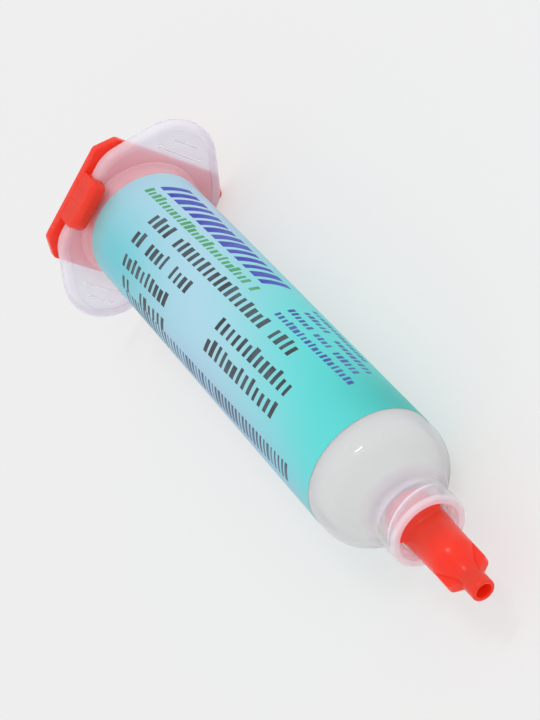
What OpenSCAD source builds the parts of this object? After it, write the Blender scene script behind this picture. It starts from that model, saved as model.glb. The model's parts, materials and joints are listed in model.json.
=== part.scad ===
// A flux syringe: a luer-lock dispensing barrel with its label, piston and filling, closed by a
// clip-on end cap and a finned tip cap. Every piece is drawn on the barrel's axis, which runs
// along +X from the open end (x = 0) to the tip, with the flange's wings along Y and the end
// cap's clips along Z. lay_down() then rests the whole syringe on its side.

/* [Barrel] */
// Bore of the barrel
bore_d = 15.9; // [15:0.1:16.6]
// Thickness of the barrel's wall
wall = 1.09; // [0.85:0.01:1.3]
// Bare wall between the label's front edge and the shoulder
bare_len = 2; // [1:0.5:10]
// Radius of the rounded shoulder, outside
shoulder_r = 5; // [4:0.1:6]
// Angle between the nose cone and the axis
cone_angle = 40; // [37:1:43]

/* [Luer lock] */
// Bore of the collar
collar_bore_d = 8.1; // [7.9:0.1:8.6]
// Thickness of the collar's wall
collar_wall = 1.05; // [0.8:0.05:1.4]
// Collar outside the nose cone, from the cone to the mouth
collar_len = 4.5; // [3.5:0.5:7]
// Depth of the collar's bore
collar_depth = 5.6; // [4.5:0.1:7]
// Rounding of the collar's mouth
mouth_edge_r = 0.35; // [0.1:0.05:0.5]
// Thickness between the chamber and the collar's floor
front_wall = 1.1; // [0.8:0.1:1.4]
// How far the luer tip stands past the collar's mouth
tip_reach = 2.1; // [1.5:0.1:4]
// Diameter of the luer tip at its end
tip_d = 3.96; // [3.8:0.01:4.05]
// Bore of the luer tip
tip_bore_d = 2.2; // [1.6:0.1:2.6]

/* [Flange] */
// Width over the two wings
flange_span = 33; // [30:0.5:36]
// Width over the two narrow sides
flange_width = 22; // [21:0.1:23]
// Thickness of the flange
flange_t = 1.9; // [1.6:0.1:2.4]
// Rounding at the end of each wing
wing_r = 7.65; // [6:0.05:9]
// Rounding where a wing's flank meets a narrow side
flank_r = 5.7; // [5:0.1:6.5]
// Half length of the straight part of a narrow side
narrow_half = 5.3; // [4.5:0.1:6]
// Rounding of the flange's edges
flange_edge_r = 0.7; // [0.4:0.05:0.9]
// Width of the raised rim round each wing
rim_w = 1.4; // [1:0.1:2]
// Depth of the field inside the rim
field_depth = 0.25; // [0.1:0.05:0.5]
// Height of the grip ribs above the field
rib_h = 0.2; // [0.1:0.05:0.5]
// Width of a grip rib
rib_w = 0.5; // [0.3:0.1:0.8]
// Distance from the axis to the inner rib of each wing
rib_reach = 11.6; // [11:0.1:12]
// Distance between the two ribs of a wing
rib_pitch = 1.8; // [1.2:0.1:2]
// Length of the inner rib
rib_len = 7.8; // [5:0.1:9]
// Each rib is this much shorter than the one inside it
rib_step = 3.2; // [1:0.1:4]
// Fillet between flange and barrel
flange_fillet_r = 0.6; // [0.2:0.1:1]

/* [Label] */
// Length of the label along the barrel
label_len = 63; // [50:0.5:90]
// Bare wall between the flange and the label
label_gap = 2.2; // [1.8:0.1:6]
// Thickness of the label
label_t = 0.06; // [0.04:0.01:0.08]

/* [Piston] */
// Air space between the end cap's plug and the piston, which leaves 10 ml of flux in front
air_len = 4.8; // [1:0.1:30]
// Length of the piston's side, behind its nose
piston_len = 7; // [5:0.5:7.5]
// Wall of the hollow piston
piston_wall = 1.6; // [1.2:0.1:2]
// Width of each of the piston's wiping bands
band_w = 1.6; // [1:0.1:2]
// Depth of the waist between the bands
waist_depth = 0.5; // [0.2:0.1:0.8]

/* [End cap] */
// Width of the plate along the wings
plate_w = 19.9; // [18:0.1:21]
// Thickness of the plate
plate_t = 1.3; // [1:0.1:2]
// Chamfer of the plate's corners
plate_chamfer = 2.5; // [1.5:0.1:4]
// Rounding of the plate's corners
plate_corner_r = 0.9; // [0.5:0.1:1.2]
// Bevel of the plate's rear edges
plate_bevel = 0.25; // [0.1:0.05:0.5]
// Length of the plug inside the bore
plug_len = 7; // [5:0.5:8]
// Wall of the hollow plug
plug_wall = 1.2; // [0.8:0.1:1.6]
// Bevel at the plug's front edge
plug_bevel = 0.5; // [0.2:0.1:0.8]
// Width of each clip
clip_w = 7.8; // [6:0.1:10]
// Thickness of a clip outside the flange's narrow side
clip_wall = 0.9; // [0.7:0.05:1.3]
// Thickness of a clip's lip in front of the flange
lip_t = 1.9; // [0.8:0.1:2.4]
// Gap between the barrel's wall and the lips' inner edge
lip_gap = 0.85; // [0.5:0.05:1.2]
// Rounding of the clips' front edge
clip_edge_r = 0.8; // [0.4:0.1:1.1]
// Rounding of the clips' front corners, seen from above
clip_corner_r = 0.7; // [0.3:0.1:2]

/* [Tip cap] */
// Diameter of the cap's body
cap_d = 6; // [5.6:0.1:6.4]
// Thickness of the cap's wall round the luer tip, inside the collar
hub_wall = 0.8; // [0.6:0.1:1.3]
// Gap between the cap's open end and the collar's floor
hub_gap = 0.6; // [0.3:0.1:1.5]
// Gap between the two lugs and the collar's bore
lug_gap = 0.1; // [0.1:0.05:0.3]
// Length of a lug along the axis
lug_len = 0.8; // [0.6:0.1:1.6]
// How far the lugs lie inside the collar's mouth
lug_inset = 0.5; // [0.2:0.1:1]
// Angle that each lug covers
lug_angle = 110; // [60:5:130]
// Length of the cap's body, from the collar's mouth to the taper
body_len = 5; // [4.5:0.1:10]
// Draft of the body's side, in degrees
body_draft = 1.4; // [0:0.1:1.6]
// Length of the taper
taper_len = 4.1; // [3:0.1:6]
// Length of the nub past the taper
nub_len = 2.4; // [1:0.1:3]
// Diameter of the nub
nub_d = 3; // [2.6:0.1:3.4]
// Diameter of the recess in the nub
nub_hole_d = 1.94; // [1.5:0.02:2.1]
// Depth of the recess in the nub
nub_hole_depth = 3; // [2:0.1:3.5]
// Rounding of the nub's end
nub_edge_r = 0.25; // [0.1:0.05:0.3]
// Thickness of the two fins
fin_t = 1.2; // [0.8:0.1:1.6]
// Where the fins' outer corners start to round, from the taper's start
fin_len = 2.75; // [1.5:0.05:3]
// Rounding of the fins' corners
fin_corner_r = 1; // [0.3:0.1:1.1]
// Slope of the fins' front edges
fin_slope = 29; // [20:1:50]
// Thickness between the luer tip and the cap's closed end
cap_end_gap = 0.5; // [0.3:0.1:1]
// Turn of the cap about the axis, from fins level
cap_turn = -28; // [-90:1:90]

/* [Clearances] */
// Gap between parts that slide or seat on each other
seat_gap = 0.05; // [0.03:0.01:0.08]
// Gap between the filling and the walls round it
fill_gap = 0.03; // [0.02:0.01:0.05]

/* [Hidden] */
$fn = 72;
hull_fn = 40;

// Overlap for cuts that run out of a face
cut = 1;
// Luer taper: the diameter grows by 6% of the length
luer_taper = 0.06;

bore_r = bore_d / 2;
barrel_r = bore_r + wall;
inner_shoulder_r = shoulder_r - wall;
shoulder_centre_r = barrel_r - shoulder_r;
label_x = flange_t + label_gap;
straight_len = label_x + label_len + bare_len;

collar_bore_r = collar_bore_d / 2;
collar_r = collar_bore_r + collar_wall;
cone_end_x = cone_x(collar_r, shoulder_r);
mouth_x = cone_end_x + collar_len;
collar_floor_x = mouth_x - collar_depth;
chamber_end_x = collar_floor_x - front_wall;
tip_end_x = mouth_x + tip_reach;
tip_edge_r = 0.2;

plate_front_x = -seat_gap;
plate_rear_x = plate_front_x - plate_t;
plug_end_x = plate_front_x + plug_len;
clip_inner_z = flange_width / 2 + seat_gap;
clip_outer_z = clip_inner_z + clip_wall;
clip_round_r = min(clip_edge_r, clip_wall, lip_t);
lip_inner_z = barrel_r + max(lip_gap, flange_fillet_r + seat_gap);
lip_rear_x = flange_t + seat_gap;
lip_front_x = lip_rear_x + lip_t;

piston_rear_x = plug_end_x + air_len;
stroke = straight_len - piston_len - piston_rear_x;

cap_r = cap_d / 2;
hub_x = collar_floor_x + hub_gap;
hub_r = luer_r(hub_x) + seat_gap + hub_wall;
lug_r = collar_bore_r - lug_gap;
lug_top_x = mouth_x - lug_inset;
lug_rear_x = lug_top_x - lug_len;
flare_r = lug_r - cap_r;
taper_x = mouth_x + body_len;
body_end_r = cap_r - (taper_x - lug_top_x) * tan(body_draft);
nub_x = taper_x + taper_len;
taper_steps = 10;
cap_end_x = nub_x + nub_len;
socket_end_x = tip_end_x + cap_end_gap;

// The syringe rests on the lower clip's rounded front edge and on the round of the shoulder.
// tilt is the angle at which both are at one height, worked out from the centres of the two rounds.
rest_x = lip_front_x - clip_round_r;
rest_z = clip_outer_z - clip_round_r;
span_x = straight_len - rest_x;
span_z = rest_z - shoulder_centre_r;
tilt = acos((shoulder_r - clip_round_r) / norm([span_x, span_z])) - atan2(span_x, span_z);
lift = rest_x * sin(tilt) + rest_z * cos(tilt) + clip_round_r;
rear_reach = plate_rear_x * cos(tilt) - (clip_outer_z - plate_bevel) * sin(tilt);
front_reach = (cap_end_x - nub_edge_r) * cos(tilt) + (nub_d / 2 - nub_edge_r) * sin(tilt) + nub_edge_r;
mid_x = (rear_reach + front_reach) / 2;

// Radius of the luer tip at x
function luer_r(x) = (tip_d + luer_taper * (tip_end_x - x)) / 2;

// Radius of the tip cap's taper at x: it leaves the body and meets the nub without an edge
function taper_r(x) =
    let (t = (x - taper_x) / taper_len)
    body_end_r + (nub_d / 2 - body_end_r) * t * t * (3 - 2 * t);

// Where a nose cone that is tangent to a shoulder of radius round_r comes down to radius r
function cone_x(r, round_r) =
    straight_len + round_r * sin(cone_angle)
    + (shoulder_centre_r + round_r * cos(cone_angle) - r) / tan(cone_angle);

// Lays the syringe down and puts the middle of its footprint on the origin
module lay_down() {
    translate([-mid_x, 0, lift]) rotate([0, tilt, 0]) children();
}

// Turns a half section, with the radius along X and the axis along Y, round the barrel's axis
module revolve(angle = 360) {
    rotate([0, 90, 0]) rotate_extrude(angle = angle) children();
}

// Solid half section of a wall that ends in a rounded shoulder and a nose cone, cut off at end_x
module nose_section(side_r, round_r, end_x) {
    tangent_r = side_r - round_r + round_r * cos(cone_angle);
    tangent_x = straight_len + round_r * sin(cone_angle);
    apex_x = tangent_x + tangent_r / tan(cone_angle);
    intersection() {
        union() {
            square([side_r, straight_len]);
            translate([side_r - round_r, straight_len]) circle(round_r);
            polygon([[0, straight_len], [side_r - round_r, straight_len],
                     [tangent_r, tangent_x], [0, apex_x]]);
        }
        square([side_r, end_x]);
    }
}

// Half section of a round bar from x0 to x1, with its outer edge rounded at x1
module bar_section(r, x0, x1, edge_r) {
    translate([0, x0]) square([r, x1 - x0 - edge_r]);
    translate([0, x0]) square([r - edge_r, x1 - x0]);
    translate([r - edge_r, x1 - edge_r]) circle(edge_r);
}

// Half section of the fillet that fills the corner at radius r in front of x
module fillet_section(r, x, fillet_r) {
    difference() {
        translate([r - fillet_r, x - fillet_r]) square(2 * fillet_r);
        translate([r + fillet_r, x + fillet_r]) circle(fillet_r);
    }
}

// Disc on the barrel's axis whose two edges are rounded
module round_disc(r, t, edge_r) {
    revolve() {
        square([r - edge_r, t]);
        translate([0, edge_r]) square([r, t - 2 * edge_r]);
        for (x = [edge_r, t - edge_r]) translate([r - edge_r, x]) circle(edge_r);
    }
}

// The winged outline, from six discs: one at the end of each wing and two at each narrow side
module winged_plate(t, edge_r, inset) {
    wing_y = flange_span / 2 - wing_r;
    flank_z = flange_width / 2 - flank_r;
    hull() {
        for (side = [-1, 1]) {
            translate([0, side * wing_y, 0]) round_disc(wing_r - inset, t, edge_r, $fn = hull_fn);
            for (z = [-flank_z, flank_z])
                translate([0, side * narrow_half, z]) round_disc(flank_r - inset, t, edge_r, $fn = hull_fn);
        }
    }
}

module flange() {
    field_x = flange_t - field_depth;
    winged_plate(flange_t, flange_edge_r, 0);
    for (side = [-1, 1], i = [0, 1])
        translate([field_x - cut, side * (rib_reach + i * rib_pitch) - rib_w / 2, -(rib_len - i * rib_step) / 2])
            cube([cut + rib_h, rib_w, rib_len - i * rib_step]);
}

// The field sunk into the flange's front, which leaves the rim, the ribs and the barrel's root
module flange_field() {
    field_x = flange_t - field_depth;
    difference() {
        translate([field_x, 0, 0]) winged_plate(2 * field_depth, field_depth / 4, rim_w);
        revolve() square([barrel_r + flange_fillet_r, flange_t + cut]);
        for (side = [-1, 1], i = [0, 1])
            translate([field_x - cut, side * (rib_reach + i * rib_pitch) - rib_w / 2, -(rib_len - i * rib_step) / 2])
                cube([cut + rib_h, rib_w, rib_len - i * rib_step]);
    }
}

module collar() {
    revolve() {
        difference() {
            bar_section(collar_r, collar_floor_x - front_wall, mouth_x, mouth_edge_r);
            translate([0, collar_floor_x]) square([collar_bore_r, collar_depth + cut]);
        }
    }
}

module luer_tip() {
    revolve() {
        polygon([[0, chamber_end_x], [luer_r(collar_floor_x), chamber_end_x],
                 [luer_r(collar_floor_x), collar_floor_x],
                 [luer_r(tip_end_x - tip_edge_r), tip_end_x - tip_edge_r],
                 [luer_r(tip_end_x) - tip_edge_r, tip_end_x], [0, tip_end_x]]);
    }
}

module barrel() {
    color([0.87, 0.85, 0.89]) lay_down() difference() {
        union() {
            flange();
            revolve() {
                fillet_section(barrel_r, flange_t, flange_fillet_r);
                difference() {
                    nose_section(barrel_r, shoulder_r, cone_end_x);
                    translate([0, collar_floor_x]) square([collar_bore_r, collar_depth + cut]);
                }
            }
            collar();
            luer_tip();
        }
        flange_field();
        revolve() nose_section(bore_r, inner_shoulder_r, chamber_end_x);
        revolve() translate([0, -cut]) square([bore_r, 2 * cut]);
        revolve() square([tip_bore_d / 2, tip_end_x + cut]);
    }
}

module label() {
    color([0.6, 0.83, 0.88]) lay_down() revolve() {
        translate([barrel_r, label_x]) square([label_t, label_len]);
    }
}

// Half section of the chamber's front, shrunk by gap and moved back by the piston's stroke
module follower_section(gap) {
    translate([0, -stroke]) nose_section(bore_r - gap, inner_shoulder_r - gap, chamber_end_x - gap);
}

module piston() {
    side_r = bore_r - seat_gap;
    color([0.93, 0.94, 0.94]) lay_down() revolve() difference() {
        follower_section(seat_gap);
        translate([0, piston_rear_x - straight_len]) square([bore_r, straight_len]);
        translate([side_r - waist_depth, piston_rear_x + band_w]) square([bore_r, piston_len - 2 * band_w]);
        follower_section(seat_gap + piston_wall);
    }
}

module flux_paste() {
    color([0.84, 0.84, 0.8]) lay_down() revolve() {
        difference() {
            nose_section(bore_r - fill_gap, inner_shoulder_r - fill_gap, chamber_end_x - fill_gap);
            follower_section(0);
        }
        translate([0, chamber_end_x - cut]) square([tip_bore_d / 2 - fill_gap, tip_end_x - chamber_end_x + cut / 2]);
    }
}

// One corner of the plate: a short bar along X with its rear edge bevelled
module corner_bar() {
    translate([plate_rear_x, 0, 0]) rotate([0, 90, 0]) {
        cylinder(h = plate_bevel, r1 = plate_corner_r - plate_bevel, r2 = plate_corner_r);
        translate([0, 0, plate_bevel]) cylinder(h = plate_t - plate_bevel, r = plate_corner_r);
    }
}

// Octagonal plate with rounded corners
module plate() {
    half_y = plate_w / 2;
    half_z = clip_outer_z;
    inset = plate_chamfer + plate_corner_r * tan(22.5);
    hull() {
        for (y = [-1, 1], z = [-1, 1]) {
            translate([0, y * (half_y - plate_corner_r), z * (half_z - inset)]) corner_bar($fn = hull_fn);
            translate([0, y * (half_y - inset), z * (half_z - plate_corner_r)]) corner_bar($fn = hull_fn);
        }
    }
}

// Section of a clip that wraps the flange's narrow side, in x and z
module clip_section() {
    rear_x = plate_front_x - plate_t / 2;
    difference() {
        union() {
            translate([rear_x, lip_inner_z])
                square([lip_front_x - clip_round_r - rear_x, clip_outer_z - lip_inner_z]);
            translate([rear_x, lip_inner_z])
                square([lip_front_x - rear_x, clip_outer_z - clip_round_r - lip_inner_z]);
            translate([lip_front_x - clip_round_r, clip_outer_z - clip_round_r]) circle(clip_round_r);
        }
        translate([rear_x - cut, 0]) square([lip_rear_x - rear_x + cut, clip_inner_z]);
    }
}

// Outline of a clip from above, with its front corners rounded, in x and y
module clip_plan() {
    rear_x = plate_front_x - plate_t / 2;
    side_y = clip_w / 2;
    translate([rear_x, -side_y]) square([lip_front_x - clip_corner_r - rear_x, clip_w]);
    translate([rear_x, clip_corner_r - side_y]) square([lip_front_x - rear_x, clip_w - 2 * clip_corner_r]);
    for (y = [clip_corner_r - side_y, side_y - clip_corner_r])
        translate([lip_front_x - clip_corner_r, y]) circle(clip_corner_r);
}

module clip() {
    intersection() {
        rotate([90, 0, 0]) translate([0, 0, -clip_w / 2]) linear_extrude(clip_w) clip_section();
        linear_extrude(clip_outer_z + cut) clip_plan();
    }
}

module end_cap() {
    plug_r = bore_r - seat_gap;
    plug_rear_x = plate_front_x - plate_t / 2;
    color([0.93, 0.26, 0.18]) lay_down() {
        plate();
        for (side = [0, 180]) rotate([side, 0, 0]) clip();
        revolve() polygon([[plug_r - plug_wall, plug_rear_x], [plug_r, plug_rear_x],
                           [plug_r, plug_end_x - plug_bevel], [plug_r - plug_bevel, plug_end_x],
                           [plug_r - plug_wall, plug_end_x]]);
    }
}

// Half section of the cap's body, taper and nub, without its socket
module cap_section() {
    translate([0, hub_x]) square([hub_r, lug_rear_x - hub_x]);
    polygon([[0, lug_rear_x], [cap_r, lug_rear_x], [cap_r, lug_top_x], [body_end_r, taper_x], [0, taper_x]]);
    polygon([[0, taper_x],
             for (i = [0 : taper_steps]) let (x = taper_x + taper_len * i / taper_steps) [taper_r(x), x],
             [0, nub_x]]);
    bar_section(nub_d / 2, nub_x - cut, cap_end_x, nub_edge_r);
}

// A lug and the flare that runs from it down to the body, turned through lug_angle
module lug() {
    inner_r = luer_r(lug_rear_x) + seat_gap + hub_wall / 2;
    rotate([-lug_angle / 2, 0, 0]) revolve(lug_angle) {
        translate([inner_r, lug_rear_x]) square([lug_r - inner_r, lug_len]);
        difference() {
            translate([inner_r, lug_top_x]) square([lug_r - inner_r, flare_r]);
            translate([lug_r, lug_top_x + flare_r]) circle(flare_r);
        }
    }
}

// The two fins, which carry the body's full width past the start of the taper
module fins() {
    corner = [taper_x + fin_len, body_end_r - fin_corner_r];
    tangent = corner + fin_corner_r * [cos(fin_slope), sin(fin_slope)];
    foot_x = tangent.x + (tangent.y - nub_d / 2) * tan(fin_slope);
    intersection() {
        for (side = [0, 180])
            rotate([side, 0, 0]) translate([0, 0, -fin_t / 2]) linear_extrude(fin_t) {
                polygon([[taper_x - cut, 0], [taper_x - cut, body_end_r], [corner.x, body_end_r], corner,
                         tangent, [foot_x, nub_d / 2], [foot_x, 0]]);
                translate(corner) circle(fin_corner_r);
            }
        revolve() square([body_end_r, cap_end_x]);
    }
}

module tip_cap() {
    color([0.95, 0.25, 0.16]) lay_down() rotate([cap_turn, 0, 0]) difference() {
        union() {
            revolve() cap_section();
            for (side = [0, 180]) rotate([side, 0, 0]) lug();
            fins();
        }
        revolve() {
            polygon([[0, hub_x - cut], [luer_r(hub_x - cut) + seat_gap, hub_x - cut],
                     [luer_r(socket_end_x) + seat_gap, socket_end_x], [0, socket_end_x]]);
            translate([0, cap_end_x - nub_hole_depth]) square([nub_hole_d / 2, nub_hole_depth + cut]);
        }
    }
}

barrel();
label();
piston();
flux_paste();
end_cap();
tip_cap();
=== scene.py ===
"""Looks of the flux syringe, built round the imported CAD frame.

Lengths are millimetres on the barrel's own axis, as in the part's source: x runs from the open end
to the tip, y along the flange's wings and z through the end cap's clips. on_bench() takes a shape
from there to the row frame, in metres, where the syringe lies on its side. Angles round the axis
start at +y and turn toward +z.
"""

import json
import math

import bmesh
import bpy
import numpy as np
from mathutils import Matrix, Vector


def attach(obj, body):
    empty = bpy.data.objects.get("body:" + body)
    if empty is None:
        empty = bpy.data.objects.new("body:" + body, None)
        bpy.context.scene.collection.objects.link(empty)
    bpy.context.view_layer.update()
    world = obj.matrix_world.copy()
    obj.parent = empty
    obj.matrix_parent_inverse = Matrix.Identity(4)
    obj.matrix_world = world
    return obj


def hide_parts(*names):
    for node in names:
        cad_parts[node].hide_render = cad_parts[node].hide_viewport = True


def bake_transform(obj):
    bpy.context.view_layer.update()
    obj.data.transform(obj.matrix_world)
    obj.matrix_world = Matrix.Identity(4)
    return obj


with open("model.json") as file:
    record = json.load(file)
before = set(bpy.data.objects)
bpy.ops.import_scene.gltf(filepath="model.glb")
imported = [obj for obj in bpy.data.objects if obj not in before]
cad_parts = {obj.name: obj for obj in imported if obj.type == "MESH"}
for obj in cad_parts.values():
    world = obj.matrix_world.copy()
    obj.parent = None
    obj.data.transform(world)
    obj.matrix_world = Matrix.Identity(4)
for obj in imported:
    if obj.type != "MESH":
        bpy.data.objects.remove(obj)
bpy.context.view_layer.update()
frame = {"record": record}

# Barrel
BORE_R = 7.95
WALL = 1.09
BARREL_R = BORE_R + WALL
STRAIGHT_END = 69.1
SHOULDER_R = 5.0
SHOULDER_CENTRE_R = BARREL_R - SHOULDER_R
CONE_ANGLE = math.radians(40)
BORE_EDGE = 0.15

# Luer lock
COLLAR_R = 5.1
COLLAR_BORE_R = 4.05
CONE_END = (STRAIGHT_END + SHOULDER_R * math.sin(CONE_ANGLE)
            + (SHOULDER_CENTRE_R + SHOULDER_R * math.cos(CONE_ANGLE) - COLLAR_R) / math.tan(CONE_ANGLE))
MOUTH = CONE_END + 4.5
COLLAR_FLOOR = MOUTH - 5.6
CHAMBER_END = COLLAR_FLOOR - 1.1
TIP_END = MOUTH + 2.1
TIP_R = 1.98
TIP_BORE_R = 1.1
LUER_SLOPE = 0.03
THREAD_LEAD, THREAD_STARTS = 5.0, 2
THREAD_DEPTH, THREAD_HALF_W = 0.5, 0.3
THREAD_X, THREAD_PHASE = 76.9, math.radians(30)
THREAD_END = 79.3
# The line over each ridge of the thread, on the collar's outside
LINE_SHIFT, LINE_HALF_W, LINE_RISE = 0.9, 0.14, 0.03
GROOVES_START = CONE_END + 0.9
LUG_FADE = 28
MOULD_RING_R = 6.4
MOUTH_ROUND, MOUTH_INNER_ROUND = 0.35, 0.15
TIP_ROUND = 0.2

# Flange, whose outline goes round discs at its wings and flanks
FLANGE_T = 1.9
FLANGE_EDGE = 0.7
WING_Y, WING_R = 8.85, 7.65
FLANK_Y, FLANK_Z, FLANK_R = 5.3, 5.3, 5.7
RIM_W = 1.4
FIELD_DEPTH = 0.25
ROOT_FILLET = 0.6
RIB_REACH, RIB_PITCH, RIB_LEN, RIB_STEP = 11.6, 1.8, 7.8, 3.2
RIB_W, RIB_H = 0.5, 0.2

# Label
LABEL_START, LABEL_LEN = 4.1, 63.0
LABEL_T, LABEL_GAP = 0.06, 0.002
LABEL_R = BARREL_R + LABEL_T
SEAM_ANGLE = math.radians(-160)
SEAM_LAP = math.radians(19)
SEAM_STEP = 0.05
INK_T = 0.016
PRINT_DRIFT = -0.24

# Clearances, piston and filling
SEAT = 0.05
FILL_GAP = 0.03
PISTON_REAR = 11.75
PISTON_LEN = 7.0
STROKE = STRAIGHT_END - PISTON_LEN - PISTON_REAR
PISTON_WALL = 1.6
BAND_W, BAND_SLOPE, BAND_DEPTH = 1.45, 0.3, 0.5

# End cap
PLATE_FRONT, PLATE_T = -SEAT, 1.3
PLATE_HALF_Y, PLATE_HALF_Z = 9.95, 11.95
PLATE_CHAMFER, PLATE_CORNER, PLATE_BEVEL = 2.5, 0.9, 0.2
CLIP_TOP = PLATE_HALF_Z - 0.06
PARTING_TOP, PARTING_Y = PLATE_HALF_Z - 0.01, (-0.56, -0.38)
CLIP_REAR = PLATE_FRONT - PLATE_T / 2
CLIP_HALF_W = 3.9
CLIP_INNER_Z = 11.05
LIP_REAR = FLANGE_T + SEAT
LIP_FRONT = LIP_REAR + 1.9
LIP_INNER_Z = BARREL_R + 0.7
CLIP_ROUND, CLIP_SIDE_ROUND, CLIP_CORNER = 0.8, 0.3, 1.5
PLUG_R, PLUG_WALL, PLUG_LEN = BORE_R - SEAT, 1.2, 7.0

# Tip cap
CAP_R = 3.0
HUB_X = COLLAR_FLOOR + 0.6
HUB_R = TIP_R + LUER_SLOPE * (TIP_END - HUB_X) + SEAT + 0.8
LUG_R = 3.95
LUG_TOP = MOUTH - 0.5
LUG_REAR = LUG_TOP - 0.8
LUG_ENDS = ((4, 134), (200, 297))
FLARE = LUG_R - CAP_R
TAPER_START, TAPER_LEN = MOUTH + 5.0, 4.1
BODY_END_R = CAP_R - (TAPER_START - LUG_TOP) * math.tan(math.radians(1.4))
NUB_START = TAPER_START + TAPER_LEN
CAP_END = NUB_START + 2.4
NUB_R, NUB_EDGE = 1.5, 0.25
NUB_HOLE_R, NUB_HOLE_DEPTH = 0.97, 3.0
SOCKET_END = TIP_END + 0.5
FIN_HALF_T = 0.6
FIN_CORNER_X, FIN_CORNER_R = TAPER_START + 2.75, 1.0
FIN_SLOPE = math.radians(29)
FIN_BLEND = 0.12
CAP_TURN = math.radians(-28)

# Camera, in the barrel's frame: it looks at a point on the axis
LOOK_AT = Vector((40.83, 0, 0))
CAMERA_AT = Vector((222.25, 70.85, 164.30))
IMAGE_DOWN = Vector((0.5155, -0.8306, -0.2108))
LENS = 96.72

# How much the milky plastic hides: 0 is clear and 1 hides everything
FACE_COVER, FLANGE_COVER, EDGE_COVER, HIDDEN_COVER, DOME_COVER = 0.56, 0.55, 0.56, 0.06, 0.82
REAR_COVER, REAR_BLUR = 0.28, 2.4
COLLAR_COVER, GROOVE_COVER, LINE_COVER = 0.56, 0.2, 0.9
RIM_COVER, MOUTH_COVER, THREAD_COVER, RIB_COVER = 0.62, 0.42, 0.77, 0.4
# Share of the light that it stops and scatters on
SCATTERED = 0.7

# Points round a skin
ROUND = 384
ANGLES = np.linspace(0, 2 * math.pi, ROUND, endpoint=False)
CAP_ANGLES = np.linspace(0, 2 * math.pi, 640, endpoint=False)
LABEL_POINTS = 420
# Edges that turn by more than this stay sharp
SHARP = math.radians(30)


def bench_matrix():
    """The barrel's frame, in mm, to the row frame, in metres, read from the record's mounts."""
    mounts = {m["name"]: m for m in frame["record"]["mounts"]}
    rear = Vector(mounts["rear_air_adapter"]["pos_m"])
    along = Vector(mounts["luer_lock"]["axis"]).normalized()
    up = (Vector((0, 0, 1)) - along * along.z).normalized()
    axes = Matrix((along, up.cross(along), up)).transposed().to_4x4()
    return Matrix.Translation(rear) @ axes @ Matrix.Scale(0.001, 4)


BENCH = bench_matrix()


def between(start, stop, share):
    return start + (stop - start) * share


def ease(share):
    """A share from 0 to 1 with a soft start and end."""
    return share * share * (3 - 2 * share)


# Mesh making


def mesh_object(name, points, faces):
    mesh = bpy.data.meshes.new(name)
    mesh.from_pydata([tuple(p) for p in points], [], faces)
    mesh.validate()
    piece = bpy.data.objects.new(name, mesh)
    bpy.context.scene.collection.objects.link(piece)
    return piece


def ring_faces(count, around, loop):
    """Quads that join ring after ring, and the last to the first in a loop."""
    faces = []
    for i in range(count if loop else count - 1):
        a, b = i * around, (i + 1) % count * around
        for j in range(around):
            k = (j + 1) % around
            faces.append((a + j, a + k, b + k, b + j))
    return faces


def ring_piece(name, rings, angles, loop=False):
    """A closed skin through rings (x, r), where x and r are numbers or one value for each angle.

    Without loop, the skin closes on the axis at the first and the last ring's x.
    """
    points = []
    for x, r in rings:
        x, r = np.broadcast_to(x, angles.shape), np.broadcast_to(r, angles.shape)
        points.append(np.c_[x, r * np.cos(angles), r * np.sin(angles)])
    around = len(angles)
    faces = ring_faces(len(rings), around, loop)
    stacked = np.concatenate(points)
    if not loop:
        ends = np.array([[float(np.mean(rings[i][0])), 0, 0] for i in (0, -1)])
        start, last = len(stacked), (len(rings) - 1) * around
        stacked = np.concatenate([stacked, ends])
        faces += [(start, (j + 1) % around, j) for j in range(around)]
        faces += [(start + 1, last + j, last + (j + 1) % around) for j in range(around)]
    return mesh_object(name, stacked, faces)


def arc(x, r, radius, start, stop, steps):
    """Points (x, r) on an arc, with its angles in degrees from the axis."""
    turn = np.radians(np.linspace(start, stop, steps + 1))
    return [(x + radius * math.cos(t), r + radius * math.sin(t)) for t in turn]


def point_outwards(piece):
    shell = bmesh.new()
    shell.from_mesh(piece.data)
    bmesh.ops.recalc_face_normals(shell, faces=shell.faces)
    shell.to_mesh(piece.data)
    shell.free()


def cut_with(piece, other, operation):
    """Joins other to piece, or cuts it out, and removes other."""
    modifier = piece.modifiers.new("join", "BOOLEAN")
    modifier.operation = operation
    modifier.solver = "EXACT"
    modifier.object = other
    apply_modifiers(piece)
    bpy.data.objects.remove(other)


def apply_modifiers(piece):
    graph = bpy.context.evaluated_depsgraph_get()
    graph.update()
    mesh = bpy.data.meshes.new_from_object(piece.evaluated_get(graph))
    piece.modifiers.clear()
    piece.data = mesh


def on_bench(piece, finish, body, slot, *nodes):
    """Lays a finished piece down, gives it its finish and ties it to the frame."""
    piece.data.transform(BENCH)
    if not piece.data.materials:
        piece.data.materials.append(finish)
    piece.data.shade_smooth()
    piece.data.set_sharp_from_angle(angle=SHARP)
    if nodes:
        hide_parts(*nodes)
    if body:
        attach(piece, body)
    return piece


# Node trees


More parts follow.
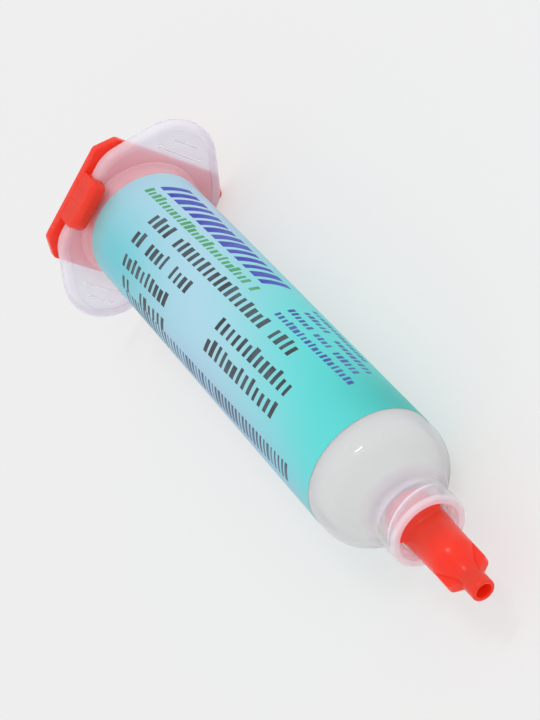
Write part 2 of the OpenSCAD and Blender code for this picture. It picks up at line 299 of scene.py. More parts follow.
class Value:
    """A number in a node tree: arithmetic on it adds Math nodes."""

    def __init__(self, tree, socket):
        self.tree, self.socket = tree, socket

    def math(self, operation, *others):
        return self.tree.node("ShaderNodeMath", {"operation": operation}, self, *others).value()

    def __add__(self, other):
        return self.math("ADD", other)

    def __radd__(self, other):
        return self.math("ADD", other)

    def __sub__(self, other):
        return self.math("SUBTRACT", other)

    def __rsub__(self, other):
        return self.tree.number(other).math("SUBTRACT", self)

    def __mul__(self, other):
        return self.math("MULTIPLY", other)

    def __rmul__(self, other):
        return self.math("MULTIPLY", other)

    def __truediv__(self, other):
        return self.math("DIVIDE", other)

    def smooth(self, start, stop):
        """0 at start and 1 at stop, with a soft run between."""
        return self.tree.node("ShaderNodeMapRange", {"interpolation_type": "SMOOTHSTEP"},
                              self, start, stop, 0.0, 1.0).value()


class Made:
    """One node, and the tree that it is in."""

    def __init__(self, tree, node):
        self.tree, self.node = tree, node

    def out(self, name=0):
        return self.node.outputs[name]

    def value(self, name=0):
        return Value(self.tree, self.node.outputs[name])


class Tree:
    """Adds nodes to a material's or a geometry group's tree."""

    def __init__(self, tree):
        self.tree = tree

    def node(self, kind, settings=None, *inputs, **named):
        """A node of that type, with its settings, then its sockets in order or by name."""
        node = self.tree.nodes.new(kind)
        for key, value in (settings or {}).items():
            setattr(node, key, value)
        for i, value in enumerate(inputs):
            self.feed(node.inputs[i], value)
        for key, value in named.items():
            self.feed(node.inputs[key.replace("_", " ")], value)
        return Made(self, node)

    def number(self, value):
        made = self.node("ShaderNodeValue")
        made.out().default_value = value
        return made.value()

    def feed(self, socket, value):
        if value is None:
            return
        if isinstance(value, Value):
            value = value.socket
        if isinstance(value, Made):
            value = value.out()
        if isinstance(value, bpy.types.NodeSocket):
            self.tree.links.new(value, socket)
        else:
            socket.default_value = value


def srgb(red, green, blue):
    """A picture colour, 0 to 255, as the linear colour that a shader takes."""
    parts = [c / 255 for c in (red, green, blue)]
    return tuple(c / 12.92 if c <= 0.04045 else ((c + 0.055) / 1.055) ** 2.4 for c in parts) + (1.0,)


BACKDROP = srgb(239, 239, 239)
FLOOR_GLOW = 0.6
# The milky wall's colour where gel fills it
OVER_GEL = srgb(224, 224, 227)
MOTTLE_SCALE, RIPPLE_SCALE, RIPPLE_DEPTH = 260.0, 1500.0, 0.00004


def new_finish(name):
    material = bpy.data.materials.new(name)
    material.use_nodes = True
    material.node_tree.nodes.clear()
    return material, Tree(material.node_tree)


def mix_colour(tree, factor, first, second):
    mix = tree.node("ShaderNodeMix", {"data_type": "RGBA"})
    for key, value in ((0, factor), (6, first), (7, second)):
        tree.feed(mix.node.inputs[key], value)
    return mix.out(2)


def close_finish(material, tree, shader):
    tree.node("ShaderNodeOutputMaterial", {}, shader)
    return material


def moulded_plastic(name, colour, shade, gloss, grain, cover=None, **settings):
    """Injection-moulded plastic: a soft mottle in its colour and gloss, and a fine ripple.

    cover names the attribute that holds how much a milky plastic hides what lies behind it. Its shadow
    is fainter than that, because such plastic scatters the light on. The attribute filled is 1 where it
    takes the greyer colour of the gel right behind it.
    """
    material, tree = new_finish(name)
    where = tree.node("ShaderNodeTexCoord").out("Object")
    mottle = tree.node("ShaderNodeTexNoise", {}, Vector=where, Scale=MOTTLE_SCALE, Detail=3.0).value()
    ripple = tree.node("ShaderNodeTexNoise", {}, Vector=where, Scale=RIPPLE_SCALE, Detail=2.0).value()
    body = mix_colour(tree, mottle.smooth(0.3, 0.75), colour, shade)
    bump = tree.node("ShaderNodeBump", {}, Strength=grain, Distance=RIPPLE_DEPTH, Height=ripple)
    shader = tree.node("ShaderNodeBsdfPrincipled", {}, Normal=bump.out(),
                       Roughness=gloss + 0.08 * (mottle - 0.5))
    if cover:
        filled = tree.node("ShaderNodeAttribute", {"attribute_name": "filled"}).value("Fac")
        body = mix_colour(tree, filled, body, OVER_GEL)
        hides = tree.node("ShaderNodeAttribute", {"attribute_name": cover}).value("Fac")
        light = tree.node("ShaderNodeLightPath")
        lighting = light.value("Is Shadow Ray").math("MAXIMUM", light.value("Is Diffuse Ray"))
        tree.feed(shader.node.inputs["Alpha"], hides * (1 - SCATTERED * lighting))
    tree.feed(shader.node.inputs["Base Color"], body)
    for key, value in settings.items():
        shader.node.inputs[key.replace("_", " ")].default_value = value
    return close_finish(material, tree, shader)


polypropylene = moulded_plastic(
    "natural_polypropylene", srgb(240, 234, 247), srgb(236, 230, 244), 0.09, 0.06, cover="cover",
    IOR=1.49, Subsurface_Weight=1.0, Subsurface_Radius=(0.001, 0.001, 0.001), Subsurface_Scale=1.0,
    Sheen_Weight=0.22, Sheen_Roughness=0.4)
red_plastic = moulded_plastic(
    "red_polyethylene", srgb(255, 58, 34), srgb(252, 50, 28), 0.26, 0.2,
    IOR=1.38, Subsurface_Weight=0.8, Subsurface_Radius=(0.004, 0.001, 0.0006), Subsurface_Scale=1.0)
white_plastic = moulded_plastic(
    "white_polyethylene", srgb(240, 241, 242), srgb(232, 233, 235), 0.4, 0.2, IOR=1.5)
gel = moulded_plastic(
    "flux_gel", srgb(198, 210, 189), srgb(190, 203, 182), 0.2, 0.5,
    IOR=1.45, Subsurface_Weight=1.0, Subsurface_Radius=(0.004, 0.004, 0.004), Subsurface_Scale=1.0)


def flat_ink(name, colour):
    """Printed ink, a little worn: its colour breaks up slightly toward the film's."""
    worn = tuple(0.86 * c + 0.14 * f for c, f in zip(colour, srgb(160, 205, 222)))
    return moulded_plastic(name, colour, worn, 0.42, 0.1, IOR=1.45)


INKS = {
    "heading": flat_ink("heading_ink", srgb(46, 46, 178)),
    "tagline": flat_ink("tagline_ink", srgb(70, 160, 96)),
    "lines": flat_ink("line_ink", srgb(50, 54, 60)),
    "address": flat_ink("address_ink", srgb(52, 78, 160)),
    "bars": flat_ink("bar_ink", srgb(62, 78, 108)),
}


def label_film():
    """Printed film: light blue that runs to teal at the front and at one rear corner, with a painted shade of
    darker blue along one side and a painted paler reflection along the other.
    """
    material, tree = new_finish("label_film")
    unrolled = tree.node("ShaderNodeAttribute", {"attribute_name": "unrolled"})
    place = tree.node("ShaderNodeSeparateXYZ", {}, unrolled.out("Vector"))
    along, across = place.value("X"), place.value("Y")

    def cloud(centre_along, centre_across, spread_along, spread_across):
        a = (along - centre_along) / spread_along
        b = (across - centre_across) / spread_across
        return (a * a + b * b).math("MULTIPLY", -1.0).math("EXPONENT")

    swing = (across / LABEL_R + math.radians(45)).math("COSINE")
    front = (along + 17.0 * swing).smooth(16.5, 54.0)
    rear_edge = (1.0 - along.smooth(0.0, 5.0)) * across.smooth(8.0, 15.0) * (1.0 - across.smooth(24.0, 30.0))
    colour = mix_colour(tree, front, srgb(172, 215, 232), srgb(90, 218, 216))
    colour = mix_colour(tree, 0.85 * cloud(62.0, 0.5, 10.0, 6.5), colour, srgb(24, 178, 170))
    colour = mix_colour(tree, cloud(8.0, 18.0, 12.0, 7.5), colour, srgb(104, 202, 214))
    # Painted shade: a darker blue where the film turns away along one side
    colour = mix_colour(tree, 0.85 * cloud(42.0, 23.5, 22.0, 4.5), colour, srgb(134, 176, 212))
    # Painted reflection: a paler lavender where the film turns away along the other side
    colour = mix_colour(tree, 0.6 * cloud(12.0, -3.5, 16.0, 4.0), colour, srgb(176, 190, 220))
    colour = mix_colour(tree, 0.5 * rear_edge, colour, srgb(142, 200, 196))
    colour = mix_colour(tree, place.value("Z").smooth(0.1, 0.4), srgb(238, 238, 242), colour)
    shader = tree.node("ShaderNodeBsdfPrincipled", {}, Base_Color=colour, Roughness=0.36, IOR=1.45)
    return close_finish(material, tree, shader)


film = label_film()


# Pieces that repeat, made by Geometry Nodes


def repeat_tree(name, *numbers):
    """A new node group with number inputs, its tree and its input node."""
    group = bpy.data.node_groups.new(name, "GeometryNodeTree")
    for title in numbers:
        group.interface.new_socket(title, in_out="INPUT", socket_type="NodeSocketFloat")
    group.interface.new_socket("Finish", in_out="INPUT", socket_type="NodeSocketMaterial")
    group.interface.new_socket("Mesh", in_out="OUTPUT", socket_type="NodeSocketGeometry")
    tree = Tree(group)
    return group, tree, tree.node("NodeGroupInput")


def end_tree(tree, shape, given):
    """Gives the mesh the finish and ends the group."""
    finished = tree.node("GeometryNodeSetMaterial", {}, shape, Material=given.out("Finish"))
    tree.node("NodeGroupOutput", {}, finished)


def printed_row_tree():
    """Plain blocks of mixed width and height on one base line, with gaps, wrapped round the film."""
    group, tree, given = repeat_tree("printed_row", "Start", "Length", "Angle", "Drift", "Height", "Lowest",
                                     "Pitch", "Narrowest", "Widest", "Gaps", "Lean", "Seed")
    pitch, height = given.value("Pitch"), given.value("Height")

    def drawn(low, high, draw):
        """A random number from low to high for each block."""
        made = tree.node("FunctionNodeRandomValue", {"data_type": "FLOAT"})
        for socket, value in ((2, low), (3, high), (8, given.value("Seed") + draw)):
            tree.feed(made.node.inputs[socket], value)
        return made.value(1)

    count = given.value("Length") / pitch
    step = tree.node("ShaderNodeCombineXYZ", {}, pitch)
    line = tree.node("GeometryNodeMeshLine", {}, Count=count.math("ROUND"), Offset=step)
    left_out = drawn(0.0, 1.0, 1).math("LESS_THAN", given.value("Gaps"))
    line = tree.node("GeometryNodeDeleteGeometry", {}, line, left_out)
    block = tree.node("GeometryNodeMeshCube", {}, Size=(1.0, 1.0, 1.0),
                      Vertices_X=2, Vertices_Y=9, Vertices_Z=2)
    block = tree.node("GeometryNodeTransform", {}, block, Translation=(0.0, -0.5, 0.0))
    width = pitch * drawn(given.value("Narrowest"), given.value("Widest"), 2)
    size = tree.node("ShaderNodeCombineXYZ", {}, width, height * drawn(given.value("Lowest"), 1.0, 3), INK_T)
    blocks = tree.node("GeometryNodeInstanceOnPoints", {}, line, Instance=block, Scale=size)
    flat = tree.node("GeometryNodeRealizeInstances", {}, blocks)
    place = tree.node("ShaderNodeSeparateXYZ", {}, tree.node("GeometryNodeInputPosition"))
    up = place.value("Y") + 0.5 * height
    along = place.value("X") + 0.5 * pitch - given.value("Lean") * up
    degrees = given.value("Angle") + given.value("Drift") * along
    turn = degrees * (math.pi / 180) + up / LABEL_R
    r = place.value("Z") + LABEL_R
    wrapped = tree.node("ShaderNodeCombineXYZ", {}, along + given.value("Start") + LABEL_START,
                        r * turn.math("COSINE"), r * turn.math("SINE"))
    end_tree(tree, tree.node("GeometryNodeSetPosition", {}, flat, Position=wrapped), given)
    return group


def grip_rib_tree():
    """The ribs on the flange's two wings: a short line of bars, and the same turned half round."""
    group, tree, given = repeat_tree("grip_ribs", "Reach", "Pitch", "Length", "Step", "Width", "Height")
    start = tree.node("ShaderNodeCombineXYZ", {}, FLANGE_T - FIELD_DEPTH, given.value("Reach"))
    step = tree.node("ShaderNodeCombineXYZ", {}, 0.0, given.value("Pitch"))
    line = tree.node("GeometryNodeMeshLine", {}, Count=2, Start_Location=start, Offset=step)
    number = tree.node("GeometryNodeInputIndex").value()
    bar = tree.node("GeometryNodeMeshCylinder", {}, Vertices=24, Radius=0.5, Depth=1.0)
    size = tree.node("ShaderNodeCombineXYZ", {}, 2.0 * given.value("Height"), given.value("Width"),
                     given.value("Length") - number * given.value("Step"))
    bars = tree.node("GeometryNodeInstanceOnPoints", {}, line, Instance=bar, Scale=size)
    wing = tree.node("GeometryNodeRealizeInstances", {}, bars)
    other = tree.node("GeometryNodeTransform", {}, wing, Rotation=(math.pi, 0.0, 0.0))
    both = tree.node("GeometryNodeJoinGeometry", {}, wing)
    tree.tree.links.new(other.out(), both.node.inputs[0])
    end_tree(tree, both, given)
    return group


def grown(name, group, finish, **numbers):
    """A plain mesh of what a node group makes with these inputs."""
    piece = mesh_object(name, [], [])
    modifier = piece.modifiers.new("grow", "NODES")
    modifier.node_group = group
    for item in group.interface.items_tree:
        if item.in_out == "INPUT":
            modifier[item.identifier] = finish if item.name == "Finish" else float(numbers[item.name])
    apply_modifiers(piece)
    return piece


# Barrel


def flange_radius(angles, inset):
    """From the axis to the flange's outline in each direction, with its discs smaller by inset."""
    turn = np.radians(np.arange(0, 360, 0.25))
    discs = [(side * WING_Y, 0, WING_R) for side in (-1, 1)]
    discs += [(side * FLANK_Y, end * FLANK_Z, FLANK_R) for side in (-1, 1) for end in (-1, 1)]
    reach = np.max([y * np.cos(turn) + z * np.sin(turn) + r - inset for y, z, r in discs], axis=0)
    facing = np.cos(turn[None, :] - angles[:, None])
    return np.where(facing > 0.05, reach[None, :] / np.maximum(facing, 0.05), np.inf).min(axis=1)


def nose(side_r, round_r, end_x):
    """Outline (x, r) of a wall's shoulder and cone, down to where the cone reaches end_x."""
    points = arc(STRAIGHT_END, side_r - round_r, round_r, 90, 90 - math.degrees(CONE_ANGLE), 14)
    x, r = points[-1]
    return points + [(end_x, r - (end_x - x) * math.tan(CONE_ANGLE))]


def rear_cover(r):
    """The flange's rear face clouds over toward the edge of the end cap's plate, which it blurs."""
    y, z = np.abs(r * np.cos(ANGLES)), np.abs(r * np.sin(ANGLES))
    corner = (PLATE_HALF_Y + PLATE_HALF_Z - PLATE_CHAMFER - y - z) / math.sqrt(2)
    inside = np.minimum(PLATE_HALF_Y - y, corner)
    far = np.clip(np.abs(inside) / REAR_BLUR, 0, 1)
    return between(REAR_COVER, HIDDEN_COVER, ease(far))


def flange_rings():
    """From the bore's rear edge over the flange's rear, edge, rim and sunk field to the wall."""
    rings, cover = [], []
    rear_edge = flange_radius(ANGLES, FLANGE_EDGE)
    for share in np.linspace(0, 1, 28):
        r = between(BORE_R + BORE_EDGE, rear_edge, share)
        rings.append((0, r))
        cover.append(rear_cover(r))
    for t in np.radians(np.linspace(15, 90, 6)):
        rings.append((FLANGE_EDGE * (1 - math.cos(t)),
                      flange_radius(ANGLES, FLANGE_EDGE * (1 - math.sin(t)))))
    for t in np.radians(np.linspace(0, 90, 7)):
        rings.append((FLANGE_T - FLANGE_EDGE * (1 - math.sin(t)),
                      flange_radius(ANGLES, FLANGE_EDGE * (1 - math.cos(t)))))
    cover += [EDGE_COVER] * (len(rings) - len(cover))
    # Where the rim comes near the wall, the field gets shallow and its rings draw together
    root = BARREL_R + ROOT_FILLET
    room = flange_radius(ANGLES, RIM_W + 0.1) - root - 0.15
    depth = FIELD_DEPTH * np.clip(room / 0.5, 0, 1)
    for i, (inset, share) in enumerate([(RIM_W - 0.06, 0), (RIM_W, 0.08), (RIM_W + 0.06, 0.5),
                                        (RIM_W + 0.12, 0.92), (RIM_W + 0.18, 1)]):
        r = np.maximum(flange_radius(ANGLES, inset), root + 0.1 - 0.01 * i)
        rings.append((FLANGE_T - depth * share, r))
    cover += [EDGE_COVER] * 4 + [FLANGE_COVER]
    rings += [(FLANGE_T - depth, root + 0.05), (FLANGE_T - depth * 0.6, root + 0.01), (FLANGE_T, root - 0.01)]
    rings += arc(FLANGE_T + ROOT_FILLET, root, ROOT_FILLET, 187, 270, 8)
    return rings, cover + [FLANGE_COVER] * (len(rings) - len(cover))


def set_share(piece, name, values):
    attribute = piece.data.attributes.new(name, "FLOAT", "POINT")
    attribute.data.foreach_set("value", np.broadcast_to(values, len(piece.data.vertices)).astype(np.float32))


def thread_height(x, half_width):
    """Height of the luer thread's ridges at x in each direction, from 0 to 1."""
    height = np.zeros(ROUND)
    for start in range(THREAD_STARTS):
        for turn in range(-1, 2):
            round_by = ANGLES - THREAD_PHASE - 2 * math.pi * (start / THREAD_STARTS + turn)
            crest_x = THREAD_X + THREAD_LEAD * round_by / (2 * math.pi)
            near = np.clip(1.5 - np.abs(x - crest_x) / half_width, 0, 1)
            height = np.maximum(height, near * np.clip((THREAD_END - crest_x) / 0.3, 0, 1))
    return height


def thread_rings():
    """The collar's bore from the mouth to the floor, with the ridges of the luer thread on it."""
    rings, cover = [], []
    for x in np.arange(MOUTH - 0.3, COLLAR_FLOOR + 0.35, -0.1):
        ridge = thread_height(x, THREAD_HALF_W)
        rings.append((x, COLLAR_BORE_R - THREAD_DEPTH * ridge))
        cover.append(between(MOUTH_COVER, THREAD_COVER, ridge))
    return rings, cover


def inside_arc(angles, ends):
    """How many degrees each direction lies inside an arc from one angle to the other."""
    first, last = ends
    return (last - first) / 2 - np.abs((np.degrees(angles) - (first + last) / 2 + 180) % 360 - 180)


def beside_lug():
    """1 where one of the tip cap's lugs lies behind the collar's wall and 0 elsewhere, with soft ends."""
    return np.clip(np.max([inside_arc(ANGLES, ends) for ends in LUG_ENDS], axis=0) / LUG_FADE, 0, 1)


def collar_rings():
    """The collar's outside: clear over the thread's grooves, with a raised milky line over each ridge."""
    rings, cover = [], []
    for x in np.arange(CONE_END + 0.35, MOUTH - 0.4, 0.08):
        line = thread_height(x - LINE_SHIFT, LINE_HALF_W)
        clear = np.clip((x - GROOVES_START) / 0.4, 0, 1) * np.clip((MOUTH - 0.4 - x) / 0.25, 0, 1)
        clear = clear * beside_lug()
        rings.append((x, COLLAR_R + LINE_RISE * line * clear))
        grooved = between(GROOVE_COVER, LINE_COVER, line)
        cover.append(between(COLLAR_COVER, grooved, clear))
    return rings, cover


def make_barrel():
    """The barrel as one closed skin: up its outside, round the collar and tip, and back through the bore."""
    rings, cover = flange_rings()
    rings += [(20, BARREL_R), (45, BARREL_R)]
    cover += [FACE_COVER] * 2
    outside = nose(BARREL_R, SHOULDER_R, CONE_END)
    cone_x, cone_r = outside[-2]
    rings += outside[:-1]
    # The low ring that the mould leaves on the cone
    for along, lift in [(-0.2, 0), (-0.08, 0.018), (0, 0.025), (0.08, 0.018), (0.2, 0)]:
        r = MOULD_RING_R - along
        rings.append((cone_x + (cone_r - r) / math.tan(CONE_ANGLE) + lift, r + lift))
    over_gel = range(len(cover), len(rings))
    cover += [DOME_COVER] * len(over_gel)
    # The corner between the cone and the collar
    rings += [(CONE_END - 0.25, COLLAR_R + 0.21), (CONE_END - 0.08, COLLAR_R + 0.08),
              (CONE_END + 0.06, COLLAR_R + 0.02), (CONE_END + 0.25, COLLAR_R)]
    cover += [FACE_COVER] * (len(rings) - len(cover) - 2) + [COLLAR_COVER] * 2
    collar, collar_cover = collar_rings()
    rings += collar
    cover += collar_cover
    rings += arc(MOUTH - MOUTH_ROUND, COLLAR_R - MOUTH_ROUND, MOUTH_ROUND, 90, 0, 6)
    rings += arc(MOUTH - MOUTH_INNER_ROUND, COLLAR_BORE_R + MOUTH_INNER_ROUND, MOUTH_INNER_ROUND, 0, -90, 4)
    cover += [RIM_COVER] * (len(rings) - len(cover))
    thread, thread_cover = thread_rings()
    rings += thread
    cover += thread_cover
    rings += arc(COLLAR_FLOOR + 0.3, COLLAR_BORE_R - 0.3, 0.3, 90, 180, 4)
    base_r = TIP_R + LUER_SLOPE * (TIP_END - COLLAR_FLOOR)
    rings += [(COLLAR_FLOOR, base_r + 0.2), (COLLAR_FLOOR + 0.06, base_r + 0.06),
              (COLLAR_FLOOR + 0.2, base_r)]
    rings += arc(TIP_END - TIP_ROUND, TIP_R - TIP_ROUND, TIP_ROUND, 90, 0, 4)
    rings += [(TIP_END, TIP_BORE_R), (CHAMBER_END, TIP_BORE_R)]
    inside = nose(BORE_R, SHOULDER_R - WALL, CHAMBER_END)
    rings += inside[::-1]
    rings += [(45, BORE_R), (20, BORE_R), (BORE_EDGE, BORE_R)]
    cover += [HIDDEN_COVER] * (len(rings) - len(cover))
    piece = ring_piece("barrel_moulding", rings, ANGLES, loop=True)
    set_share(piece, "cover", np.concatenate([np.broadcast_to(share, ROUND) for share in cover]))
    set_share(piece, "filled", np.repeat([float(i in over_gel) for i in range(len(rings))], ROUND))
    return piece


on_bench(make_barrel(), polypropylene, "barrel", "natural_polypropylene", "barrel")
grip_ribs = grown("grip_ribs", grip_rib_tree(), polypropylene, Reach=RIB_REACH, Pitch=RIB_PITCH,
                  Length=RIB_LEN, Step=RIB_STEP, Width=RIB_W, Height=RIB_H)
rib_x = np.array([corner.co.x for corner in grip_ribs.data.vertices])
set_share(grip_ribs, "cover", RIB_COVER * np.clip((rib_x - FLANGE_T + FIELD_DEPTH) / RIB_H, 0, 1))
on_bench(grip_ribs, polypropylene, "barrel", "natural_polypropylene")


# Label


def make_label():
    """A film wrapped once round the barrel, whose end laps over its start on the hidden side."""
    columns = np.linspace(0, 2 * math.pi + SEAM_LAP, LABEL_POINTS)
    lift = 1.2 * LABEL_T * np.clip((columns - 2 * math.pi + SEAM_STEP) / SEAM_STEP, 0, 1)
    ends = (LABEL_START, LABEL_START + LABEL_LEN)
    profile = [(ends[0], 0), (ends[0], LABEL_T), (ends[1], LABEL_T), (ends[1], 0)]
    points, flat = [], []
    for x, out in profile:
        r = BARREL_R + max(out, LABEL_GAP) + lift
        turn = SEAM_ANGLE + columns
        points.append(np.c_[np.full_like(r, x), r * np.cos(turn), r * np.sin(turn)])
        around = LABEL_R * (turn - 2 * math.pi * (turn > math.pi))
        flat.append(np.c_[np.full_like(r, x - LABEL_START), around, np.full_like(r, out > 0)])
    n = len(columns)
    faces = [(i * n + j, i * n + j + 1, (i + 1) % 4 * n + j + 1, (i + 1) % 4 * n + j)
             for i in range(4) for j in range(n - 1)]
    faces += [(0, n, 2 * n, 3 * n), (4 * n - 1, 3 * n - 1, 2 * n - 1, n - 1)]
    piece = mesh_object("label_wrap", np.concatenate(points), faces)
    point_outwards(piece)
    unrolled = piece.data.attributes.new("unrolled", "FLOAT_VECTOR", "POINT")
    unrolled.data.foreach_set("vector", np.concatenate(flat).astype(np.float32).ravel())
    return piece


on_bench(make_label(), film, "barrel", "label_film", "label")


# For each printed row: its name and ink, where it starts and ends along the label, and its angle,
# height, lowest block's share of that height, pitch, block widths, share of gaps and lean
PRINTED_ROWS = [
    ("heading", "heading", (4.0, 33.2), 18.9, 4.1, 0.92, 2.09, (0.45, 0.8), 0.0, 0.34),
    ("tagline", "tagline", (3.2, 33.2), 41.2, 1.5, 0.66, 1.04, (0.45, 0.78), 0.1, 0.2),
    ("kind", "lines", (9.3, 47.7), 56.5, 2.3, 0.7, 1.42, (0.4, 0.72), 0.1, 0.0),
    ("volume", "lines", (9.3, 25.7), 78.5, 2.3, 0.7, 1.37, (0.4, 0.72), 0.1, 0.0),
    ("lot", "lines", (9.5, 23.0), 101.5, 2.2, 0.75, 1.35, (0.4, 0.72), 0.05, 0.0),
    ("origin", "lines", (10.0, 25.0), 123.0, 2.1, 0.7, 1.36, (0.4, 0.72), 0.15, 0.0),
    ("packed", "lines", (34.0, 52.5), 96.5, 2.3, 0.7, 1.42, (0.4, 0.72), 0.12, 0.0),
    ("use_by", "lines", (34.0, 52.5), 75.5, 2.3, 0.7, 1.42, (0.4, 0.72), 0.12, 0.0),
    ("site", "address", (39.0, 57.0), 34.6, 1.1, 0.7, 0.9, (0.4, 0.75), 0.03, 0.0),
    ("town", "address", (39.0, 55.0), 22.5, 1.1, 0.7, 0.9, (0.4, 0.75), 0.12, 0.0),
    ("street", "address", (39.0, 55.4), 9.8, 1.1, 0.7, 0.9, (0.4, 0.75), 0.15, 0.0),
    ("maker", "address", (39.0, 52.0), -2.4, 1.1, 0.7, 0.9, (0.4, 0.75), 0.12, 0.0),
    ("stripes", "bars", (11.0, 58.0), 138.0, 2.8, 1.0, 0.94, (0.25, 0.7), 0.0, 0.0),
]


def print_label():
    row_tree = printed_row_tree()
    for number, row in enumerate(PRINTED_ROWS):
        name, ink, (start, stop), angle, height, lowest, pitch, (narrowest, widest), gaps, lean = row
        blocks = grown("print_" + name, row_tree, INKS[ink], Start=start, Length=stop - start, Angle=angle,
                       Drift=PRINT_DRIFT, Height=height, Lowest=lowest, Pitch=pitch, Narrowest=narrowest,
                       Widest=widest, Gaps=gaps, Lean=lean, Seed=10 * number)
        on_bench(blocks, INKS[ink], "barrel", "label_film")


print_label()


# Piston and flux


def make_piston():
    side_r = BORE_R - SEAT
    front = [(x - STROKE, r) for x, r in nose(side_r, SHOULDER_R - WALL - SEAT, CHAMBER_END - SEAT)]
    hollow_r, hollow_end = side_r - PISTON_WALL, CHAMBER_END - SEAT - PISTON_WALL
    hollow = [(x - STROKE, r) for x, r in
              nose(hollow_r, SHOULDER_R - WALL - SEAT - PISTON_WALL, hollow_end)]
    waist, band_end = side_r - BAND_DEPTH, BAND_W + BAND_SLOPE
    rings = hollow[::-1]
    rings += [(PISTON_REAR + 0.2, hollow_r), (PISTON_REAR, hollow_r + 0.2),
              (PISTON_REAR, side_r - 0.25), (PISTON_REAR + 0.25, side_r),
              (PISTON_REAR + BAND_W, side_r), (PISTON_REAR + band_end, waist),
              (PISTON_REAR + PISTON_LEN - band_end, waist), (PISTON_REAR + PISTON_LEN - BAND_W, side_r)]
    rings += front
    return ring_piece("piston_follower", rings, ANGLES)


def make_flux():
    """The filling: its rear follows the piston's nose, and its front stays in the barrel's nose."""
    side_r = BORE_R - FILL_GAP
    rear = [(x - STROKE, r) for x, r in nose(BORE_R, SHOULDER_R - WALL, CHAMBER_END)]
    rear[0] = (STRAIGHT_END - STROKE, side_r - 0.01)
    front = nose(side_r, SHOULDER_R - WALL - FILL_GAP, CHAMBER_END - FILL_GAP)
    rings = rear[::-1] + [(STRAIGHT_END - STROKE, side_r)] + front
    rings += [(CHAMBER_END - FILL_GAP, TIP_BORE_R - FILL_GAP), (TIP_END - 0.2, TIP_BORE_R - FILL_GAP)]
    return ring_piece("flux_filling", rings, ANGLES)


on_bench(make_piston(), white_plastic, "piston", "white_polyethylene", "piston")
flux = on_bench(make_flux(), gel, None, "flux_gel", "flux_paste")
BENCH @ Vector((CHAMBER_END - STROKE + 0.5, 0, 0))
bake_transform(flux)


# End cap


def prism(name, outline, lift, bevel, axis):
    """A closed slab over an outline, raised by lift along x or y, with its edges rounded."""
    n = len(outline)
    if axis == "x":
        points = [(x, a, b) for x in lift for a, b in outline]
    else:
        points = [(a, y, b) for y in lift for a, b in outline]
    faces = [tuple(range(n)), tuple(range(2 * n - 1, n - 1, -1))]
    faces += [(i, i + n, (i + 1) % n + n, (i + 1) % n) for i in range(n)]
    piece = mesh_object(name, points, faces)
    point_outwards(piece)
    if bevel:
        rounding = piece.modifiers.new("edges", "BEVEL")
        rounding.width, rounding.segments = bevel, 3
        rounding.limit_method, rounding.angle_limit = "ANGLE", SHARP
        apply_modifiers(piece)
    return piece


def plate_outline():
    """The plate's octagon with its corners rounded, as points (y, z)."""
    inset = PLATE_CHAMFER + PLATE_CORNER * math.tan(math.pi / 8)
    quarter = arc(PLATE_HALF_Y - PLATE_CORNER, PLATE_HALF_Z - inset, PLATE_CORNER, 0, 45, 5)
    quarter += arc(PLATE_HALF_Y - inset, PLATE_HALF_Z - PLATE_CORNER, PLATE_CORNER, 45, 90, 5)
    half = quarter + [(-y, z) for y, z in quarter[::-1]]
    return half + [(-y, -z) for y, z in half]


def clip_ring(z, front_inset, side_inset):
    """Outline of a clip from above, at one height: straight sides and rounded front corners."""
    x, y = LIP_FRONT - CLIP_CORNER, CLIP_HALF_W - CLIP_CORNER
    turn = np.radians(np.linspace(0, 90, 10))
    corner = np.c_[x + (CLIP_CORNER - front_inset) * np.cos(turn),
                   y + (CLIP_CORNER - side_inset) * np.sin(turn), np.full(10, z)]
    half = np.concatenate([corner, [[CLIP_REAR, corner[-1, 1], z]]])
    return np.concatenate([half, half[::-1] * (1, -1, 1)])


def make_clip(side):
    """One clip, as a stack of outlines up to its rounded top, with the flange's slot cut out."""
    def inset(z, radius):
        above = max(z - (CLIP_TOP - radius), 0)
        return radius - math.sqrt(max(radius ** 2 - above ** 2, 0))

    heights = [LIP_INNER_Z + 0.05, LIP_INNER_Z + 0.15, CLIP_TOP - CLIP_ROUND]
    heights += [CLIP_TOP - CLIP_ROUND + CLIP_ROUND * math.sin(t) for t in np.radians(np.linspace(8, 90, 14))]
    rings = [clip_ring(LIP_INNER_Z, 0.15, 0.15), clip_ring(heights[0], 0.05, 0.05)]
    rings += [clip_ring(z, inset(z, CLIP_ROUND), inset(z, CLIP_SIDE_ROUND)) for z in heights[1:]]
    around = len(rings[0])
    last = (len(rings) - 1) * around
    faces = ring_faces(len(rings), around, False)
    faces += [tuple(range(around)), tuple(range(last + around - 1, last - 1, -1))]
    clip = mesh_object("clip", np.concatenate(rings) * (1, side, side), faces)
    point_outwards(clip)
    slot = [(CLIP_REAR - 1, side * (LIP_INNER_Z - 1)), (LIP_REAR, side * (LIP_INNER_Z - 1)),
            (LIP_REAR, side * CLIP_INNER_Z), (CLIP_REAR - 1, side * CLIP_INNER_Z)]
    cut_with(clip, prism("slot", slot, (-CLIP_HALF_W - 1, CLIP_HALF_W + 1), 0, "y"), "DIFFERENCE")
    return clip


def parting_line(side):
    """The low line that the mould's halves leave over a clip's outer face and its rounded front."""
    outline = [(CLIP_REAR, PARTING_TOP - 0.4), (CLIP_REAR, PARTING_TOP)]
    outline += arc(LIP_FRONT - CLIP_ROUND + 0.04, PARTING_TOP - CLIP_ROUND, CLIP_ROUND, 90, 20, 8)
    outline.append((LIP_FRONT - 0.4, PARTING_TOP - CLIP_ROUND))
    return prism("parting_line", [(x, side * z) for x, z in outline], PARTING_Y, 0, "y")


